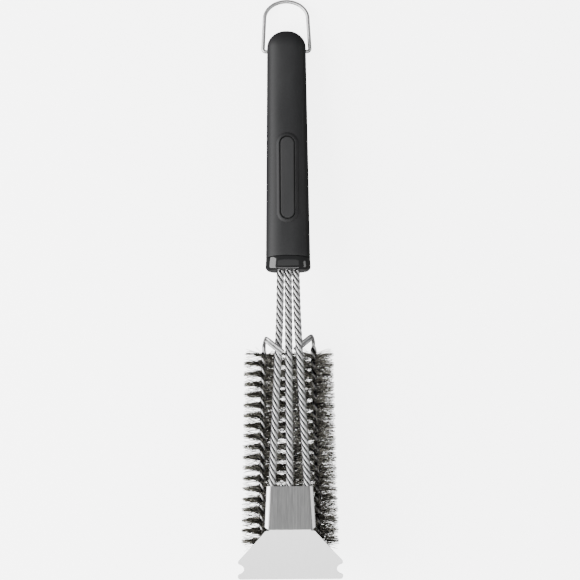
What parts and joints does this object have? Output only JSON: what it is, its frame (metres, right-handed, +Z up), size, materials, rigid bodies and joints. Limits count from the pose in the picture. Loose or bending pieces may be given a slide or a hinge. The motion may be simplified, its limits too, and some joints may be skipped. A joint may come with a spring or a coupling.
{
  "type": "grill cleaning brush",
  "caption": "Long-handled grill brush: three wire bristle brushes under twisted wire stems, a notched sheet scraper, a black grip and a swinging hang loop.",
  "frame": {"origin": "bottom centre of the bounding box, on the table the brush lies on", "axes": "+Y along the tool from the scraper to the hang loop, +X to the side, +Z up from the bristles to the stems"},
  "size_m": [0.0814, 0.4528, 0.0612],
  "materials": {
    "soft_grip": "matte",
    "inner_plastic": "matte",
    "gloss_collar": "gloss",
    "polished_wire": "polished",
    "twisted_wire": "satin",
    "sheet_steel": "satin",
    "bristle": "satin"
  },
  "bodies": {
    "tool": {"grip_shell": "soft_grip", "handle_core": "inner_plastic", "end_collar": "gloss_collar", "label_pad": "soft_grip", "scraper_plate": "sheet_steel", "clamp_back_plate": "sheet_steel", "wire_left_a": "twisted_wire", "wire_left_b": "twisted_wire", "wire_left_c": "twisted_wire", "wire_left_d": "twisted_wire", "wire_centre_a": "twisted_wire", "wire_centre_b": "twisted_wire", "wire_centre_c": "twisted_wire", "wire_centre_d": "twisted_wire", "wire_right_a": "twisted_wire", "wire_right_b": "twisted_wire", "wire_right_c": "twisted_wire", "wire_right_d": "twisted_wire", "bristles_left": "bristle", "bristles_centre": "bristle", "bristles_right": "bristle"},
    "loop": {"hang_loop": "polished_wire"}
  },
  "joints": [
    {"name": "loop_swing", "type": "hinge", "parent": "tool", "child": "loop", "pos_m": [0, 0.18502, 0.01109], "axis": [1, 0, 0], "range_deg": [-150, 164]}
  ]
}
